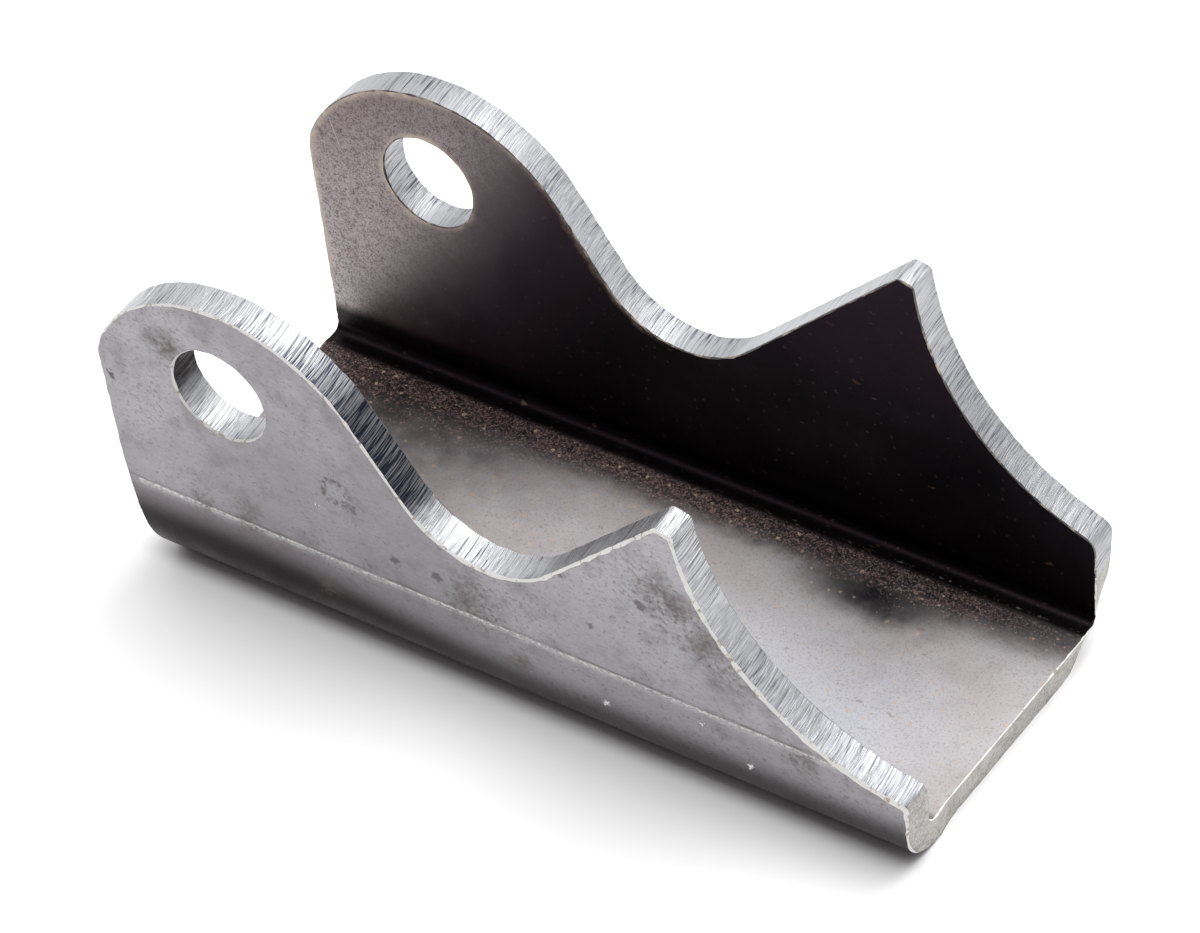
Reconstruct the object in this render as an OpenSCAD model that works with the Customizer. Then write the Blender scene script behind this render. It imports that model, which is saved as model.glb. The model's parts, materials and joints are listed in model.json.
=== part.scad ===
// Shock absorber bracket: one steel plate, cut flat and folded into a channel.
// The shock bolt crosses both flanges at the rear, and an axle tube lies in the
// two round saddles at the front. The part rests on its base, in millimetres:
// +X runs from the bolt to the axle, +Y from the near flange to the far one, +Z up.

/* [Plate] */
// Thickness of the plate
plate_t = 4.8; // [3:0.1:6]
// Inside radius of the two folds
fold_r = 3.2; // [2:0.1:5]
// Lean of each flange outward from square, in degrees
flange_splay = 1.15; // [0:0.05:3]

/* [Channel] */
// Clear width between the flanges, at the underside
gap_w = 40.3; // [30:0.1:60]
// Distance from the bolt's axis to the front end, midway across
front_reach = 99.05; // [92:0.05:106]
// Distance by which the far flange's front end is ahead of the near one's
front_skew = 1.55; // [-2:0.05:2]
// Lean of the rear edge backward as it rises, in degrees
rear_lean = 1.8; // [0:0.1:8]
// Height above the underside where the rear edge starts to lean
rear_foot_h = 9; // [8.5:0.5:16]

/* [Shock bolt] */
// Diameter of the bolt hole
bolt_d = 14.5; // [8:0.1:18]
// Height of the bolt's axis above the underside
bolt_h = 37.4; // [34:0.1:60]

/* [Crown over the bolt] */
// Height of the crown above the bolt's axis
crown_rise = 14.5; // [12:0.1:18]
// Distance of the crown's highest point ahead of the bolt's axis
crown_x = 1.3; // [-1:0.1:2]
// Radius of the crown behind its highest point
crown_rear_r = 22.2; // [18:0.1:26]
// Angle from the crown's highest point back to the rear edge, in degrees
crown_sweep = 70; // [60:1:90]
// Radius of the crown ahead of its highest point
crown_front_r = 23.3; // [18:0.1:28]

/* [Dip between bolt and axle] */
// Steepness of the straight slope from the crown to the dip, in degrees
slope_angle = 56.4; // [48:0.1:62]
// Depth of the dip's lowest point below the bolt's axis
dip_drop = 12.55; // [8:0.05:16]
// Radius of the dip
dip_r = 13.7; // [9:0.1:16]
// Steepness of the straight rise from the dip to the tip, in degrees
rise_angle = 43.3; // [38:0.1:52]

/* [Axle saddles] */
// Radius of the axle tube that the saddles fit
axle_r = 37; // [34:0.1:42]
// Distance of the axle's axis ahead of the bolt's axis, midway across
axle_x = 108.25; // [105:0.05:114]
// Height of the axle's axis above the bolt's axis, midway across
axle_z = 13.95; // [12:0.05:18]
// Turn of the axle in plan: the far saddle sits further forward, in degrees
axle_slew = 7.65; // [-9:0.05:9]
// Climb of the axle toward the far flange, in degrees
axle_climb = 5.35; // [-6:0.05:6]
// Length trimmed off the sharp tip, along the rise
tip_trim = 3.2; // [1:0.1:5]
// Fall of the flat left by the trim, in degrees
tip_fall = 15; // [0:1:30]
// Radius of the corner between saddle and front end
nose_r = 2.2; // [1:0.1:4]

/* [Hidden] */
$fn = 128;

// Margin by which a blank or a cutter passes the surface that it opens
past = 5;
// Extra radius of an arc that runs into a straight edge, so that no sliver is left
blend = 0.002;

// Fold: both arcs share a centre, and touch the base and the leaning flange
fold_out = fold_r + plate_t;
half_w = gap_w / 2 + plate_t;
fold_y = half_w + fold_out * tan(flange_splay) - fold_out / cos(flange_splay);

// A point at a distance from another, in a given direction
function polar(from, r, angle) = from + r * [cos(angle), sin(angle)];

// First crossing of a circle by a ray that starts outside it
function ray_meets_circle(from, angle, centre, r) =
    let (
        along = (centre - from) * [cos(angle), sin(angle)],
        aside = (centre - from) * [-sin(angle), cos(angle)]
    )
    polar(from, along - sqrt(r * r - aside * aside), angle);

// Front end at each flange, from the bolt's axis, and the blank that is cut back to it
near_front = front_reach - front_skew / 2;
far_front = front_reach + front_skew / 2;
blank_front = front_reach + abs(front_skew) + past;

// Crown: two arcs that share a level tangent at the top, as x and z from the bolt's axis
crown_rear_c = [crown_x, crown_rise - crown_rear_r];
crown_front_c = [crown_x, crown_rise - crown_front_r];
crown_start = polar(crown_rear_c, crown_rear_r, 90 + crown_sweep);
crown_end = 90 - slope_angle;
blank_top = crown_rise + past;

// A point on a straight edge, at a given height, from another point and the edge's angle
function edge_at(from, z, angle) = [from.x + (z - from.y) / tan(angle), z];

// Rear edge: upright across the fold, then leaning up to the crown
base_z = -bolt_h;
rear_foot = edge_at(crown_start, base_z + rear_foot_h, 90 + rear_lean);
rear_head = edge_at(crown_start, blank_top, 90 + rear_lean);

// Dip: its circle touches the slope, which touches the crown's front arc
slope_normal = [cos(crown_end), sin(crown_end)];
dip_z = dip_r - dip_drop;
dip_x = (slope_normal * crown_front_c + crown_front_r + dip_r - slope_normal.y * dip_z)
    / slope_normal.x;
dip_c = [dip_x, dip_z];
slope_foot = polar(dip_c, dip_r, crown_end + 180);
slope_head = edge_at(slope_foot, blank_top, -slope_angle);
rise_foot = polar(dip_c, dip_r, rise_angle - 90);
rise_end = rise_foot + (blank_front - rise_foot.x) * [1, tan(rise_angle)];

// Axle's axis where it passes each flange
flange_y = half_w - plate_t / 2;
axle_step = flange_y * [tan(axle_slew), tan(axle_climb)];
near_axle = [axle_x, axle_z] - axle_step;
far_axle = [axle_x, axle_z] + axle_step;

// Bolt's place in the part's frame, whose origin is midway along the part
bolt_x = -(max(near_front, far_front) + crown_start.x) / 2;
part_l = max(near_front, far_front) - crown_start.x;

// Corner area outside an arc, between two directions from the arc's centre
module outside_arc(centre, r, from, to) {
    half = (to - from) / 2;
    reach = 2 * r / cos(half);
    difference() {
        polygon([centre, polar(centre, reach, from), polar(centre, reach, from + half),
                 polar(centre, reach, to)]);
        translate(centre) circle(r + blend);
    }
}

// Flange outline before the saddles are cut: straight edges joined by true arcs
module flange_outline() {
    difference() {
        polygon([[rear_foot.x, base_z], rear_foot, rear_head, slope_head, slope_foot,
                 rise_foot, rise_end, [blank_front, base_z]]);
        outside_arc(crown_rear_c, crown_rear_r, 90, 90 + crown_sweep + past);
        outside_arc(crown_front_c, crown_front_r, crown_end, 90);
        translate(dip_c) circle(dip_r + blend);
    }
}

// Area cut from a flange for the axle, with the trimmed tip and the rounded nose
module saddle_outline(axle, front) {
    tip = ray_meets_circle(rise_foot, rise_angle, axle, axle_r);
    trimmed = polar(tip, -tip_trim, rise_angle);
    land = polar(trimmed, -tip_trim, -tip_fall);
    land_end = polar(trimmed, 2 * tip_trim, -tip_fall);
    nose_x = front - nose_r;
    nose_drop = sqrt(pow(axle_r + nose_r, 2) - pow(nose_x - axle.x, 2));
    nose_c = [nose_x, axle.y - nose_drop];
    open_x = max(axle.x, blank_front) + past;
    translate(axle) circle(axle_r);
    polygon([land, land_end, land_end + [0, axle_r], land + [0, axle_r]]);
    difference() {
        polygon([nose_c, axle, [open_x, axle.y], [open_x, nose_c.y]]);
        translate(nose_c) circle(nose_r + blend);
    }
}

// Trough between two leaning walls, a given depth inside the channel's outer faces
module trough(inset, height) {
    r = fold_out - inset;
    wall_foot = polar([fold_y, fold_out], r, -flange_splay);
    wall_top = polar(wall_foot, height, 90 - flange_splay);
    polygon([[-fold_y, inset], [fold_y, inset], wall_foot, wall_top,
             [-wall_top.x, wall_top.y], [-wall_foot.x, wall_foot.y]]);
    for (side = [-1, 1])
        translate([side * fold_y, fold_out]) circle(r + blend);
}

// Folded plate as a plain length of channel, longer than the part
module channel() {
    height = bolt_h + 2 * axle_r;
    translate([-part_l, 0, 0])
        rotate([90, 0, 90])
            linear_extrude(2 * part_l)
                difference() {
                    trough(0, height);
                    trough(plate_t, height + past);
                }
}

// Prism across the part, between two places in y, from an outline drawn from the bolt
module across(y_from, y_to) {
    translate([bolt_x, y_to, bolt_h])
        rotate([90, 0, 0])
            linear_extrude(y_to - y_from)
                children();
}

// Area cut off in plan: square across each flange and slanted across the base
module front_cut() {
    open_x = blank_front + past;
    translate([bolt_x, 0, -past])
        linear_extrude(bolt_h + axle_r + 2 * past)
            polygon([[near_front, -gap_w], [open_x, -gap_w], [open_x, gap_w],
                     [far_front, gap_w], [far_front, gap_w / 2], [near_front, -gap_w / 2]]);
}

module bracket() {
    color([0.58, 0.56, 0.53])
        difference() {
            intersection() {
                channel();
                across(-gap_w, gap_w) flange_outline();
            }
            front_cut();
            across(-gap_w, 0) saddle_outline(near_axle, near_front);
            across(0, gap_w) saddle_outline(far_axle, far_front);
            across(-gap_w, gap_w) circle(d = bolt_d);
        }
}

bracket();
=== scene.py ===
# %% [markdown]
# # A folded steel bracket for a shock absorber
# The real part is one steel plate. A torch cuts its outline and its two bolt holes,
# then a press brake folds it into a channel. This script rebuilds the plate in that
# order: it draws the flat blank, cuts it with a rough torch edge, folds it, and then
# paints the mill scale, the bright cut edges and the marks that handling left.

# %% Load the packed frame
import json
import math

import bpy
import numpy as np
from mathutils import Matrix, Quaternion, Vector
from mathutils.geometry import delaunay_2d_cdt
from mathutils.kdtree import KDTree


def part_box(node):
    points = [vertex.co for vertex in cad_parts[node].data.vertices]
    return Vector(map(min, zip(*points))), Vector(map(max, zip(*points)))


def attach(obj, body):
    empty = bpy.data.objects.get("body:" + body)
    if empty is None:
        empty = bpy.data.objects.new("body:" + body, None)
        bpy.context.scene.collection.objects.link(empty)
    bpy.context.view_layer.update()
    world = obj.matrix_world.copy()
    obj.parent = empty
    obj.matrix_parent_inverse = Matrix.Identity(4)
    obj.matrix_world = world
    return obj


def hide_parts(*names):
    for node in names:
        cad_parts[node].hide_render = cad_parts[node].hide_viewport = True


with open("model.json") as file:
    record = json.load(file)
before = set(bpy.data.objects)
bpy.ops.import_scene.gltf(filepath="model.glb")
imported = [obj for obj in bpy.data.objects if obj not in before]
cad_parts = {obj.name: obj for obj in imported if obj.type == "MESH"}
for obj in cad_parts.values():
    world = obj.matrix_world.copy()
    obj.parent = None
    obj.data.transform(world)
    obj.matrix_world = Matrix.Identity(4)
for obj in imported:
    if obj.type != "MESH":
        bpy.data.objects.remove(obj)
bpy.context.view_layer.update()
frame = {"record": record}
MM = 0.001

# %% [markdown]
# ## Driving sizes
# The bolt's place and radius and the part's ends come from the packed frame. The other
# sizes are the plate's own, in millimetres, and match the solid that stands for it.

# %% Sizes of the plate
bolt = next(m for m in frame["record"]["mounts"] if m["name"] == "shock_bolt")
bolt_x = bolt["pos_m"][0] / MM
bolt_z = bolt["pos_m"][2] / MM
bolt_r = bolt["dims"]["r_mm"]
front_skew = 1.55
far_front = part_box("bracket")[1].x / MM
near_front = far_front - front_skew
plate_t = 4.8
fold_r = 3.2
splay = math.radians(1.15)
half_gap = 20.15
rear_lean = math.radians(1.8)
rear_foot_h = 9.0
print(f"bolt at x {bolt_x:.2f}, z {bolt_z:.2f}; front ends at {near_front:.2f} and {far_front:.2f}")

# %% [markdown]
# ## Sizes of the flange outline
# Each flange has a crown over the bolt, a straight slope, a round dip, a straight rise to
# the tip and a round saddle for the axle tube. A few radii and angles fix all of that.
# They are written down here, because many traced points would wobble.

# %% Sizes of the flange outline, from the bolt's axis
crown_rise, crown_x = 14.5, 1.3
crown_rear_r, crown_front_r, crown_sweep = 22.2, 23.3, 70.0
slope_angle, dip_drop, dip_r, rise_angle = 56.4, 12.55, 13.7, 43.3
axle_r, axle_x, axle_z = 37.0, 108.25, 13.95
axle_slew, axle_climb = math.radians(7.65), math.radians(5.35)
tip_trim, tip_fall = 3.2, 15.0
near_nose_r, far_nose_r = 0.8, 2.2
print(f"crown at height {bolt_z + crown_rise:.1f}, saddle radius {axle_r:.1f}")

# %% [markdown]
# ## The flat blank's outline
# Straight edges run tangent into arcs, so each arc's centre and end angles follow from
# the sizes above. A fine step along the outline leaves room for the torch's ripples,
# which are real dents in the edge and not only shading.

# %% Points along lines and arcs
CUT_STEP = 0.12


def polar(centre, r, degrees):
    a = math.radians(degrees)
    return np.array(centre) + r * np.array([math.cos(a), math.sin(a)])


def line(start, end):
    n = max(2, int(math.dist(start, end) / CUT_STEP))
    share = np.arange(n)[:, None] / n
    return np.array(start) * (1 - share) + np.array(end) * share


def arc(centre, r, a_from, a_to):
    n = max(2, int(abs(math.radians(a_to - a_from)) * r / CUT_STEP))
    a = np.radians(a_from + (a_to - a_from) * np.arange(n) / n)
    return np.array(centre) + r * np.stack([np.cos(a), np.sin(a)], 1)


def ease(start, corner, end):
    n = max(2, int((math.dist(start, corner) + math.dist(corner, end)) / CUT_STEP))
    t = np.arange(n)[:, None] / n
    return np.array(start) * (1 - t) ** 2 + 2 * np.array(corner) * t * (1 - t) + np.array(end) * t ** 2


def ray_to_circle(start, degrees, centre, r):
    way = polar((0, 0), 1, degrees)
    offset = np.array(centre) - start
    along = offset @ way
    aside = offset @ offset - along ** 2
    return np.array(start) + (along - math.sqrt(r * r - aside)) * way


print("points on a quarter of the dip:", len(arc((0, 0), dip_r, 0, 90)))

# %% [markdown]
# ## Rear of a flange
# The rear edge, the crown, the slope and the dip are the same on both flanges. A curve
# object with handles could follow them, but points worked out from tangent lines and
# arcs stay exact. The corner under the crown is eased, because the torch rounds it.

# %% Outline from the rear foot to the foot of the rise, as x and z from the bolt
EASE_LINE, EASE_ARC = 1.6, 4.0


def rear_outline():
    crown_rear_c = (crown_x, crown_rise - crown_rear_r)
    crown_front_c = (crown_x, crown_rise - crown_front_r)
    crown_start = polar(crown_rear_c, crown_rear_r, 90 + crown_sweep)
    foot_z = rear_foot_h - bolt_z
    rear_foot = (crown_start[0] + (crown_start[1] - foot_z) * math.tan(rear_lean), foot_z)
    ease_from = crown_start + (np.array(rear_foot) - crown_start) * EASE_LINE / (crown_start[1] - foot_z)
    ease_to = polar(crown_rear_c, crown_rear_r, 90 + crown_sweep - EASE_ARC)
    slope_normal = polar((0, 0), 1, 90 - slope_angle)
    dip_z = dip_r - dip_drop
    reach = slope_normal @ crown_front_c + crown_front_r + dip_r
    dip_c = ((reach - slope_normal[1] * dip_z) / slope_normal[0], dip_z)
    slope_top = polar(crown_front_c, crown_front_r, 90 - slope_angle)
    slope_foot = polar(dip_c, dip_r, 270 - slope_angle)
    pieces = [
        line(rear_foot, ease_from),
        ease(ease_from, crown_start, ease_to),
        arc(crown_rear_c, crown_rear_r, 90 + crown_sweep - EASE_ARC, 90),
        arc(crown_front_c, crown_front_r, 90, 90 - slope_angle),
        line(slope_top, slope_foot),
        arc(dip_c, dip_r, 270 - slope_angle, 270 + rise_angle),
    ]
    return pieces, polar(dip_c, dip_r, rise_angle - 90)


rear_pieces, rise_foot = rear_outline()
print("the rise starts at", rise_foot.round(2), "mm from the bolt")

# %% [markdown]
# ## Front of a flange
# The axle tube lies in a round saddle at the front. The tube crosses the part at an angle,
# so each flange has its own saddle and its own front end. One function draws both, from
# the axle's place, the front end and the radius of the nose.

# %% Outline of one flange, from the rear foot to the nose
def flange_outline(axle, front, nose_r):
    tip = ray_to_circle(rise_foot, rise_angle, axle, axle_r)
    land = polar(tip, -tip_trim, rise_angle)
    land_end = ray_to_circle(land, -tip_fall, axle, axle_r)
    nose_x = front - bolt_x - nose_r
    nose_drop = math.sqrt((axle_r + nose_r) ** 2 - (nose_x - axle[0]) ** 2)
    nose_c = (nose_x, axle[1] - nose_drop)
    nose_start = math.degrees(math.atan2(axle[1] - nose_c[1], axle[0] - nose_c[0]))
    saddle_from = math.degrees(math.atan2(land_end[1] - axle[1], land_end[0] - axle[0])) % 360
    front_pieces = [
        line(rise_foot, land),
        line(land, land_end),
        arc(axle, axle_r, saddle_from, nose_start + 180),
        arc(nose_c, nose_r, nose_start, 0),
    ]
    return np.concatenate(rear_pieces + front_pieces) + (bolt_x, bolt_z)


NOSE_PUSH, BASE_PUSH = 1.35, 0.75
flange_y = half_gap + plate_t / 2
axle_mid = np.array([axle_x, axle_z])
axle_step = flange_y * np.array([math.tan(axle_slew), math.tan(axle_climb)])
near_path = flange_outline(axle_mid - axle_step, near_front + NOSE_PUSH, near_nose_r)
far_path = flange_outline(axle_mid + axle_step, far_front, far_nose_r)
print("outline points, near and far flange:", len(near_path), len(far_path))

# %% [markdown]
# ## Folding
# A point of the flat blank has a place x along the part and a distance v across it,
# measured along the middle of the plate from the part's centre line. Its depth w runs
# from the outside (+) to the inside (-). Folding maps (x, v, w) to the folded part:
# a flat base, an arc at each fold and a flange that leans out a little.

# %% Map from the flat blank to the folded part
NEAR_CREASE_R, FAR_CREASE_R = 2.6, 1.3
fold_out = fold_r + plate_t
fold_mid = fold_r + plate_t / 2
half_w = half_gap + plate_t
fold_y = half_w + fold_out * math.tan(splay) - fold_out / math.cos(splay)
fold_turn = math.pi / 2 - splay
flange_v = fold_y + fold_mid * fold_turn
flange_z = fold_out - fold_mid * math.cos(fold_turn)


def height_to_v(z):
    return flange_v + (z - flange_z) / math.cos(splay)


def crease(share, r):
    lead = (fold_r - r) * math.tan(fold_turn / 2)
    bend = r * fold_turn
    s = share * (2 * lead + bend)
    turn = np.clip((s - lead) / r, 0, fold_turn)
    up = np.maximum(s - lead - bend, 0)
    y = fold_y + np.minimum(s, lead) + r * np.sin(turn) + up * math.sin(splay)
    return y, plate_t + r * (1 - np.cos(turn)) + up * math.cos(splay)


def fold(x, v, w):
    side, v = np.sign(v), np.abs(v)
    share = np.clip((v - fold_y) / (flange_v - fold_y), 0, 1)
    out_y = fold_y + fold_out * np.sin(share * fold_turn)
    out_z = fold_out - fold_out * np.cos(share * fold_turn)
    in_y, in_z = crease(share, np.where(side < 0, NEAR_CREASE_R, FAR_CREASE_R))
    depth = w / plate_t + 0.5
    up = np.maximum(v - flange_v, 0)
    y = in_y + (out_y - in_y) * depth + np.minimum(v - fold_y, 0) + up * math.sin(splay)
    z = in_z + (out_z - in_z) * depth + up * math.cos(splay)
    return np.stack([x, side * y, z], -1)


print(f"the flange starts {flange_v:.2f} mm from the centre line, at height {flange_z:.2f}")

# %% [markdown]
# ## The closed outline and the holes of the blank
# The near flange lies at negative v and the far one at positive v. The outline runs
# counter-clockwise and the holes clockwise, so the right-hand side of every cut is
# always open air. A short smoothing rounds the sharp corners by a fraction of a
# millimetre, as a torch does.

# %% Loops of the blank
CORNER_SPREAD, HOLE_RIM = 1.1, 0.3
REAR_BOW, BOW_AT, CORNER_IN = 1.2, -8.0, 2.0


def to_blank(path, side):
    return np.stack([path[:, 0], side * height_to_v(path[:, 1])], 1)


def chain(corners):
    return np.concatenate([line(a, b) for a, b in zip(corners, corners[1:])])


def smooth_loop(points):
    closed = np.concatenate([points, points[:1]])
    s = np.concatenate([[0], np.cumsum(np.linalg.norm(np.diff(closed, axis=0), axis=1))])
    n = int(s[-1] / CUT_STEP)
    even = np.arange(n) * s[-1] / n
    loop = np.stack([np.interp(even, s, closed[:, k]) for k in (0, 1)], 1)
    reach = max(1, int(CORNER_SPREAD / CUT_STEP))
    weights = np.hanning(2 * reach + 1)
    weights /= weights.sum()
    return sum(w * np.roll(loop, k - reach, axis=0) for k, w in enumerate(weights))


near_blank, far_blank = to_blank(near_path, -1), to_blank(far_path, 1)
kink_v = fold_y + fold_mid * math.asin((half_gap - fold_y) / fold_mid)
nose_x, corner_x = near_front + NOSE_PUSH, near_front + BASE_PUSH
front_edge = chain([(nose_x, near_blank[-1, 1]), (nose_x, -flange_v), (corner_x, -fold_y + CORNER_IN),
                    (far_front, kink_v), (far_front, far_blank[-1, 1])])
rear_foot_x = far_blank[0, 0]
rear_edge = chain([far_blank[0], (rear_foot_x, fold_y), (rear_foot_x + REAR_BOW, BOW_AT),
                   (rear_foot_x, -fold_y), near_blank[0]])
outline = smooth_loop(np.concatenate([near_blank, front_edge, far_blank[::-1], rear_edge]))
hole_v = height_to_v(bolt_z)
holes = [smooth_loop(arc((bolt_x, side * hole_v), bolt_r - HOLE_RIM, 360, 0)) for side in (-1, 1)]
print("outline and hole loops:", len(outline), [len(h) for h in holes], "points")

# %% [markdown]
# ## Unevenness along the cut
# A hand or a machine never moves a torch quite evenly. A table of seeded random numbers,
# blended smoothly from one to the next, gives waves of any pitch that come out the same
# on every run.

# %% Seeded waves along the cut
LANES, LANE_LENGTH = 8, 4096
rng = np.random.default_rng(14)
LATTICE = rng.uniform(-1, 1, (LANES, LANE_LENGTH))


def wave(s, pitch, lane):
    cell = np.floor(s / pitch).astype(int)
    t = s / pitch - cell
    t = t * t * (3 - 2 * t)
    values = LATTICE[lane]
    return values[cell % LANE_LENGTH] * (1 - t) + values[(cell + 1) % LANE_LENGTH] * t


print("seeded waves:", LATTICE.shape)

# %% [markdown]
# ## Torch ripples and bevels
# A torch leaves drag lines across the thickness, about half a millimetre apart, that
# lag behind toward the far side of the cut. The kerf also tapers, so the plate is a
# little larger on its inside. Each edge row gets a ripple along the cut's outward
# direction, and a narrow bevel where the cut meets the plate's faces.

# %% Directions out of the cut
CORNER_SHARE, CORNER_REACH = 0.6, 6


def outward(loop):
    way = np.roll(loop, -1, axis=0) - np.roll(loop, 1, axis=0)
    way /= np.linalg.norm(way, axis=1)[:, None]
    return np.stack([way[:, 1], -way[:, 0]], 1)


def corner_room(loop):
    n = outward(loop)
    turn = np.roll(n, -1, axis=0) - np.roll(n, 1, axis=0)
    bend = np.sum(turn * np.stack([-n[:, 1], n[:, 0]], 1), 1)
    room = CORNER_SHARE * 2 * CUT_STEP / np.maximum(bend, 1e-4)
    return np.min([np.roll(room, k) for k in range(-CORNER_REACH, CORNER_REACH + 1)], axis=0)


print("room for a bevel in the tightest corner:", round(corner_room(outline).min(), 2), "mm")

# %% [markdown]
# ## Rows of the cut edge
# The cut is a strip of rows from the outside face to the inside face. A bevel modifier
# could round the two rims, but a burr isn't even: here its width follows a slow wave, and
# on the near flange it is wider toward the front. The sheared ends get weaker ripples.

# %% Rows of the cut edge, from the outside face to the inside face
CUT_ROWS = 9
KERF_TAPER = 0.05
BEVEL_OUT, BEVEL_IN = 0.24, 0.16
BURR_AHEAD, BURR_FROM, BURR_SPAN = 0.6, -14.0, 10.0
RIPPLE, RIPPLE_PITCH, RIPPLE_LAG, FINE_PITCH = 0.012, 0.5, 0.55, 0.45
SWELL, SWELL_PITCH, ROUGH_PITCH = 0.02, 5.0, 7.0
RIPPLE_ROOM = 0.09
SHEAR_SPAN, SHEAR_RIPPLE = height_to_v(12.5), 0.25


def cut_rows(loop):
    n = outward(loop)
    s = np.arange(len(loop)) * CUT_STEP
    torch = np.where(np.abs(loop[:, 1]) < SHEAR_SPAN, SHEAR_RIPPLE, 1.0)
    ahead = np.clip((loop[:, 0] - BURR_FROM) / BURR_SPAN, 0, 1) * (loop[:, 1] < -flange_v)
    bevel_out = BEVEL_OUT * (1 + BURR_AHEAD * ahead) * (1 + 0.35 * wave(s, 1.1, 0))
    bevel_in = BEVEL_IN * (1 + 0.45 * wave(s, 0.9, 1))
    rough = 0.65 + 0.5 * wave(s, ROUGH_PITCH, 5)
    swell = SWELL * wave(s, SWELL_PITCH, 4)
    rows = []
    for k in range(CUT_ROWS):
        share = k / (CUT_ROWS - 1)
        w = (plate_t / 2 - bevel_out) * (1 - share) - (plate_t / 2 - bevel_in) * share
        lag = s + RIPPLE_LAG * share ** 2
        ripple = wave(lag, RIPPLE_PITCH, 2) + 0.5 * wave(lag, RIPPLE_PITCH * FINE_PITCH, 3)
        push = torch * (RIPPLE * rough * (0.45 + 0.55 * share) * ripple + swell)
        push -= RIPPLE_ROOM + KERF_TAPER * (1 - share)
        rows.append((loop + n * push[:, None], w))
    inset_out = np.minimum(bevel_out + RIPPLE_ROOM + KERF_TAPER, corner_room(loop))
    rows.insert(0, (loop - n * inset_out[:, None], plate_t / 2 + 0 * s))
    rows.append((loop - n * (bevel_in + RIPPLE_ROOM)[:, None], -plate_t / 2 + 0 * s))
    return rows, s


edges = [cut_rows(loop) for loop in [outline] + holes]
print("rows across each cut:", len(edges[0][0]), "longest cut:", round(edges[0][1][-1]), "mm")

# %% [markdown]
# ## Filling the plate's two faces
# Both faces share one set of triangles in the flat blank. Points inside the blank sit
# on lines along the part, close together across the folds and across the mark that
# the press brake's die leaves on the outside, so that these shapes are real geometry.

# %% Lines along the part, as distances across the blank
DIE_H = 15.1
die_v = height_to_v(DIE_H)
DIE_LINES = (-0.9, -0.36, -0.24, -0.08, 0.08, 0.24, 0.36, 0.9)
FACE_STEP, BASE_STEP, FOLD_LINES = 1.7, 2.1, 24
v_top = np.abs(outline[:, 1]).max()
half_lines = np.concatenate([
    np.arange(0.5, fold_y, BASE_STEP), np.linspace(fold_y, flange_v, FOLD_LINES),
    die_v + np.array(DIE_LINES), np.arange(flange_v + 1.2, die_v - 1.2, FACE_STEP),
    np.arange(die_v + 1.9, v_top, FACE_STEP)])
print("lines on each half of the blank:", len(half_lines))

# %% [markdown]
# ## Which points lie in the plate
# A point lies inside a loop if a line from it toward +x crosses the loop an odd number of
# times. A search tree gives the distance to the nearest cut, so no point sits so close to
# the edge that it makes a thin triangle.

# %% Test for points inside the plate
CHUNK = 500


def inside(points, loop):
    x, v = points[:, :1], points[:, 1:]
    x0, v0 = loop[:, 0], loop[:, 1]
    x1, v1 = np.roll(x0, -1), np.roll(v0, -1)
    hit = np.zeros(len(points), bool)
    for start in range(0, len(points), CHUNK):
        part = slice(start, start + CHUNK)
        spans = (v0 > v[part]) != (v1 > v[part])
        with np.errstate(divide="ignore", invalid="ignore"):
            cross = (x1 - x0) * (v[part] - v0) / (v1 - v0) + x0
        hit[part] = (spans & (x[part] < cross)).sum(1) % 2 == 1
    return hit


def in_plate(points, rings):
    keep = inside(points, rings[0])
    for ring in rings[1:]:
        keep &= ~inside(points, ring)
    return keep


hole_centre = np.array([[bolt_x, hole_v]])
print("the bolt's axis passes through metal:", bool(in_plate(hole_centre, [outline] + holes)[0]))

# %% [markdown]
# ## A staggered grid of points
# Each line gets points at one even step, and every second line is shifted by half a step,
# so the triangles between them come out nearly equal.

# %% Points inside the blank
RIM_CLEAR = 1.15
grid = []
x_line = np.arange(outline[:, 0].min(), far_front, FACE_STEP)
for k, v in enumerate(sorted(half_lines)):
    for side in (-1, 1):
        grid.append(np.stack([x_line + FACE_STEP / 2 * (k % 2), np.full_like(x_line, side * v)], 1))
grid = np.concatenate(grid)
rim = np.concatenate([outline] + holes)
tree = KDTree(len(rim))
for k, (x, v) in enumerate(rim):
    tree.insert((x, v, 0), k)
tree.balance()


def rim_distance(points):
    return np.array([tree.find((x, v, 0))[2] for x, v in points])


grid = grid[in_plate(grid, [outline] + holes)]
grid = grid[rim_distance(grid) > RIM_CLEAR]
print("points inside the blank:", len(grid))

# %% [markdown]
# ## Triangles of the blank
# The face of the plate has to be filled with triangles right up to the cut. Blender's
# constrained Delaunay function joins the points into well-shaped triangles and keeps
# every edge of the loops. Triangles in the holes and outside are dropped afterwards.

# %% Triangles of the blank
loops = [e[0][0][0] for e in edges]
sizes = [len(p) for p in loops]
starts = np.concatenate([[0], np.cumsum(sizes)])
flat = np.concatenate(loops + [grid])
ring_edges = [(a + k, a + (k + 1) % n) for a, n in zip(starts, sizes) for k in range(n)]
made = delaunay_2d_cdt([Vector(p) for p in flat], ring_edges, [], 0, 1e-6)
ids = np.array([o[0] for o in made[3]])
triangles = ids[np.array(made[2])]
triangles = triangles[in_plate(flat[triangles].mean(1), loops)]
print("triangles on each face:", len(triangles))

# %% [markdown]
# ## Marks of the press brake
# The brake's die leaves a shallow line on the outside of each flange, and a bend draws the
# outer skin in at its ends. Both could be sculpted, but as small functions of the place on
# the blank they stay smooth and easy to change.

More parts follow.
